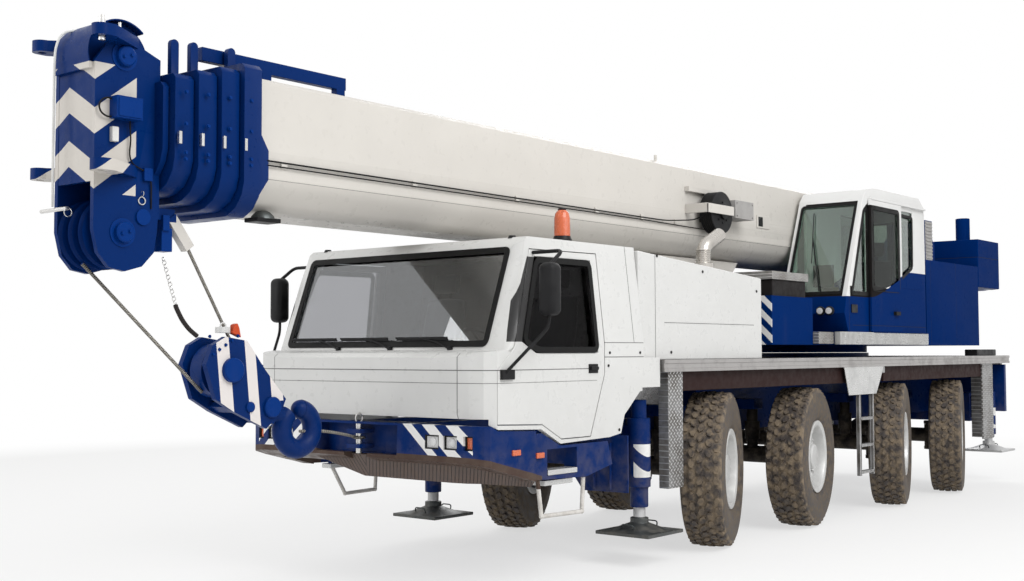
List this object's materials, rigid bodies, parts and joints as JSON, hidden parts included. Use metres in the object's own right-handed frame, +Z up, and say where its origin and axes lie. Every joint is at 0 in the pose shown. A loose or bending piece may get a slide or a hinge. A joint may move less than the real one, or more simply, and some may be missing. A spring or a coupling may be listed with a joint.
{
  "type": "mobile crane",
  "caption": "Telescopic mobile crane on a steered all-wheel road carrier, with driver's cab, slewing upper structure, crane cab, counterweight, outriggers and a hook block tied to the bumper.",
  "frame": {"origin": "on the ground below the middle of the overall length and width", "axes": "+X forward along the boom, +Y to the left, +Z up"},
  "size_m": [13.3698, 3.05, 3.7739],
  "materials": {
    "tyre": "matte",
    "black_paint": "satin",
    "glass": "clear",
    "interior": "matte",
    "aluminium": "satin",
    "steel": "satin",
    "white_paint": "gloss",
    "cream_paint": "gloss",
    "lamp": "gloss",
    "blue_paint": "gloss"
  },
  "bodies": {
    "carrier": {"chassis_frame": "blue_paint", "deck": "aluminium", "mudguards": "black_paint", "side_plates": "aluminium", "axles": "black_paint", "engine": "steel", "engine_hood": "white_paint", "exhaust": "aluminium", "cab_shell": "white_paint", "cab_glass": "glass", "cab_interior": "interior", "bumper": "blue_paint", "lamps": "lamp"},
    "left_door": {"door_left": "white_paint", "door_glass_left": "glass", "mirror_left": "black_paint"},
    "right_door": {"door_right": "white_paint", "door_glass_right": "glass", "mirror_right": "black_paint"},
    "upper": {"turntable": "blue_paint", "crane_cab": "white_paint", "crane_cab_glass": "glass", "crane_cab_interior": "interior", "counterweight": "blue_paint", "winch": "steel"},
    "crane_door": {"crane_cab_door": "white_paint", "crane_door_glass": "glass"},
    "luff_barrel": {"ram_barrel": "blue_paint"},
    "luff_rod": {"ram_rod": "steel"},
    "boom": {"boom_base": "cream_paint", "boom_fittings": "cream_paint"},
    "section_2": {"boom_section_2": "cream_paint"},
    "section_3": {"boom_section_3": "cream_paint"},
    "section_4": {"boom_section_4": "cream_paint"},
    "head": {"boom_head": "blue_paint"},
    "hook": {"hook_block": "blue_paint"},
    "hub_1_left": {"knuckle_1_left": "black_paint"},
    "road_wheel_1_left": {"wheel_1_left": "tyre"},
    "hub_1_right": {"knuckle_1_right": "black_paint"},
    "road_wheel_1_right": {"wheel_1_right": "tyre"},
    "hub_2_left": {"knuckle_2_left": "black_paint"},
    "road_wheel_2_left": {"wheel_2_left": "tyre"},
    "hub_2_right": {"knuckle_2_right": "black_paint"},
    "road_wheel_2_right": {"wheel_2_right": "tyre"},
    "hub_3_left": {"knuckle_3_left": "black_paint"},
    "road_wheel_3_left": {"wheel_3_left": "tyre"},
    "hub_3_right": {"knuckle_3_right": "black_paint"},
    "road_wheel_3_right": {"wheel_3_right": "tyre"},
    "hub_4_left": {"knuckle_4_left": "black_paint"},
    "road_wheel_4_left": {"wheel_4_left": "tyre"},
    "hub_4_right": {"knuckle_4_right": "black_paint"},
    "road_wheel_4_right": {"wheel_4_right": "tyre"},
    "outrigger_front_left": {"beam_front_left": "blue_paint"},
    "jack_front_left": {"leg_front_left": "steel"},
    "outrigger_front_right": {"beam_front_right": "blue_paint"},
    "jack_front_right": {"leg_front_right": "steel"},
    "outrigger_rear_left": {"beam_rear_left": "blue_paint"},
    "jack_rear_left": {"leg_rear_left": "steel"},
    "outrigger_rear_right": {"beam_rear_right": "blue_paint"},
    "jack_rear_right": {"leg_rear_right": "steel"}
  },
  "joints": [
    {"name": "slew", "type": "hinge", "parent": "carrier", "child": "upper", "pos_m": [-3.135, 0, 1.7], "axis": [0, 0, 1], "continuous": true},
    {"name": "luff", "type": "hinge", "parent": "upper", "child": "boom", "pos_m": [-4.935, 0, 3.1], "axis": [0, -1, 0], "range_deg": [0, 78]},
    {"name": "luff_barrel_pivot", "type": "hinge", "parent": "upper", "child": "luff_barrel", "pos_m": [-3.635, 0, 2.13], "axis": [0, -1, 0], "range_deg": [0, 81.89]},
    {"name": "luff_rod_slide", "type": "slide", "parent": "luff_barrel", "child": "luff_rod", "axis": [0.995, 0, 0.0995], "range_m": [0, 2.038]},
    {"name": "telescope_2", "type": "slide", "parent": "boom", "child": "section_2", "axis": [1, 0, 0], "range_m": [0, 7.2]},
    {"name": "telescope_3", "type": "slide", "parent": "section_2", "child": "section_3", "axis": [1, 0, 0], "range_m": [0, 7.21]},
    {"name": "telescope_4", "type": "slide", "parent": "section_3", "child": "section_4", "axis": [1, 0, 0], "range_m": [0, 7.21]},
    {"name": "telescope_5", "type": "slide", "parent": "section_4", "child": "head", "axis": [1, 0, 0], "range_m": [0, 7.21]},
    {"name": "hook_swing", "type": "hinge", "parent": "head", "child": "hook", "pos_m": [6.396, 0, 2.46], "axis": [0, -1, 0], "range_deg": [-14.5, 0]},
    {"name": "steer_1_left", "type": "hinge", "parent": "carrier", "child": "hub_1_left", "pos_m": [0.965, 0.875, 0.685], "axis": [0, 0, 1], "range_deg": [-56, 14]},
    {"name": "spin_1_left", "type": "hinge", "parent": "hub_1_left", "child": "road_wheel_1_left", "pos_m": [0.89333, 1.06172, 0.685], "axis": [-0.3584, 0.9336, 0], "continuous": true},
    {"name": "steer_1_right", "type": "hinge", "parent": "carrier", "child": "hub_1_right", "pos_m": [0.965, -0.875, 0.685], "axis": [0, 0, 1], "range_deg": [-56, 14]},
    {"name": "spin_1_right", "type": "hinge", "parent": "hub_1_right", "child": "road_wheel_1_right", "pos_m": [1.03667, -1.06172, 0.685], "axis": [-0.3584, 0.9336, 0], "continuous": true},
    {"name": "steer_2_left", "type": "hinge", "parent": "carrier", "child": "hub_2_left", "pos_m": [-0.76, 0.875, 0.685], "axis": [0, 0, 1], "range_deg": [-32, 8]},
    {"name": "spin_2_left", "type": "hinge", "parent": "hub_2_left", "child": "road_wheel_2_left", "pos_m": [-0.80158, 1.07063, 0.685], "axis": [-0.2079, 0.9781, 0], "continuous": true},
    {"name": "steer_2_right", "type": "hinge", "parent": "carrier", "child": "hub_2_right", "pos_m": [-0.76, -0.875, 0.685], "axis": [0, 0, 1], "range_deg": [-32, 8]},
    {"name": "spin_2_right", "type": "hinge", "parent": "hub_2_right", "child": "road_wheel_2_right", "pos_m": [-0.71842, -1.07063, 0.685], "axis": [-0.2079, 0.9781, 0], "continuous": true},
    {"name": "steer_3_left", "type": "hinge", "parent": "carrier", "child": "hub_3_left", "pos_m": [-2.94, 0.875, 0.685], "axis": [0, 0, 1], "range_deg": [-48, 12]},
    {"name": "spin_3_left", "type": "hinge", "parent": "hub_3_left", "child": "road_wheel_3_left", "pos_m": [-3.0018, 1.06521, 0.685], "axis": [-0.309, 0.9511, 0], "continuous": true},
    {"name": "steer_3_right", "type": "hinge", "parent": "carrier", "child": "hub_3_right", "pos_m": [-2.94, -0.875, 0.685], "axis": [0, 0, 1], "range_deg": [-48, 12]},
    {"name": "spin_3_right", "type": "hinge", "parent": "hub_3_right", "child": "road_wheel_3_right", "pos_m": [-2.8782, -1.06521, 0.685], "axis": [-0.309, 0.9511, 0], "continuous": true},
    {"name": "steer_4_left", "type": "hinge", "parent": "carrier", "child": "hub_4_left", "pos_m": [-4.665, 0.875, 0.685], "axis": [0, 0, 1], "range_deg": [-48, 12]},
    {"name": "spin_4_left", "type": "hinge", "parent": "hub_4_left", "child": "road_wheel_4_left", "pos_m": [-4.7268, 1.06521, 0.685], "axis": [-0.309, 0.9511, 0], "continuous": true},
    {"name": "steer_4_right", "type": "hinge", "parent": "carrier", "child": "hub_4_right", "pos_m": [-4.665, -0.875, 0.685], "axis": [0, 0, 1], "range_deg": [-48, 12]},
    {"name": "spin_4_right", "type": "hinge", "parent": "hub_4_right", "child": "road_wheel_4_right", "pos_m": [-4.6032, -1.06521, 0.685], "axis": [-0.309, 0.9511, 0], "continuous": true},
    {"name": "door_left_hinge", "type": "hinge", "parent": "carrier", "child": "left_door", "pos_m": [4.09, 1.25, 1.6], "axis": [0, 0, -1], "range_deg": [0, 70]},
    {"name": "door_right_hinge", "type": "hinge", "parent": "carrier", "child": "right_door", "pos_m": [4.09, -1.25, 1.6], "axis": [0, 0, 1], "range_deg": [0, 70]},
    {"name": "crane_door_slide", "type": "slide", "parent": "upper", "child": "crane_door", "axis": [-1, 0, 0], "range_m": [0, 0.7]},
    {"name": "beam_front_left_slide", "type": "slide", "parent": "carrier", "child": "outrigger_front_left", "axis": [0, 1, 0], "range_m": [0, 1.4]},
    {"name": "jack_front_left_slide", "type": "slide", "parent": "outrigger_front_left", "child": "jack_front_left", "axis": [0, 0, -1], "range_m": [0, 0.5]},
    {"name": "beam_front_right_slide", "type": "slide", "parent": "carrier", "child": "outrigger_front_right", "axis": [0, -1, 0], "range_m": [0, 1.4]},
    {"name": "jack_front_right_slide", "type": "slide", "parent": "outrigger_front_right", "child": "jack_front_right", "axis": [0, 0, -1], "range_m": [0, 0.5]},
    {"name": "beam_rear_left_slide", "type": "slide", "parent": "carrier", "child": "outrigger_rear_left", "axis": [0, 1, 0], "range_m": [0, 1.4]},
    {"name": "jack_rear_left_slide", "type": "slide", "parent": "outrigger_rear_left", "child": "jack_rear_left", "axis": [0, 0, -1], "range_m": [0, 0.5]},
    {"name": "beam_rear_right_slide", "type": "slide", "parent": "carrier", "child": "outrigger_rear_right", "axis": [0, -1, 0], "range_m": [0, 1.4]},
    {"name": "jack_rear_right_slide", "type": "slide", "parent": "outrigger_rear_right", "child": "jack_rear_right", "axis": [0, 0, -1], "range_m": [0, 0.5]}
  ],
  "couplings": [
    {"joint": "luff_barrel_pivot", "follows": "luff", "ratio": 1.0434},
    {"joint": "luff_rod_slide", "follows": "luff", "m_per_rad": 1.4895},
    {"joint": "telescope_3", "follows": "telescope_2", "ratio": 1},
    {"joint": "telescope_4", "follows": "telescope_2", "ratio": 1},
    {"joint": "telescope_5", "follows": "telescope_2", "ratio": 1},
    {"joint": "hook_swing", "follows": "luff", "ratio": -0.17949},
    {"joint": "steer_1_right", "follows": "steer_1_left", "ratio": 1},
    {"joint": "steer_2_left", "follows": "steer_1_left", "ratio": 0.57143},
    {"joint": "steer_2_right", "follows": "steer_1_left", "ratio": 0.57143},
    {"joint": "steer_3_right", "follows": "steer_3_left", "ratio": 1},
    {"joint": "steer_4_left", "follows": "steer_3_left", "ratio": 1},
    {"joint": "steer_4_right", "follows": "steer_3_left", "ratio": 1}
  ]
}
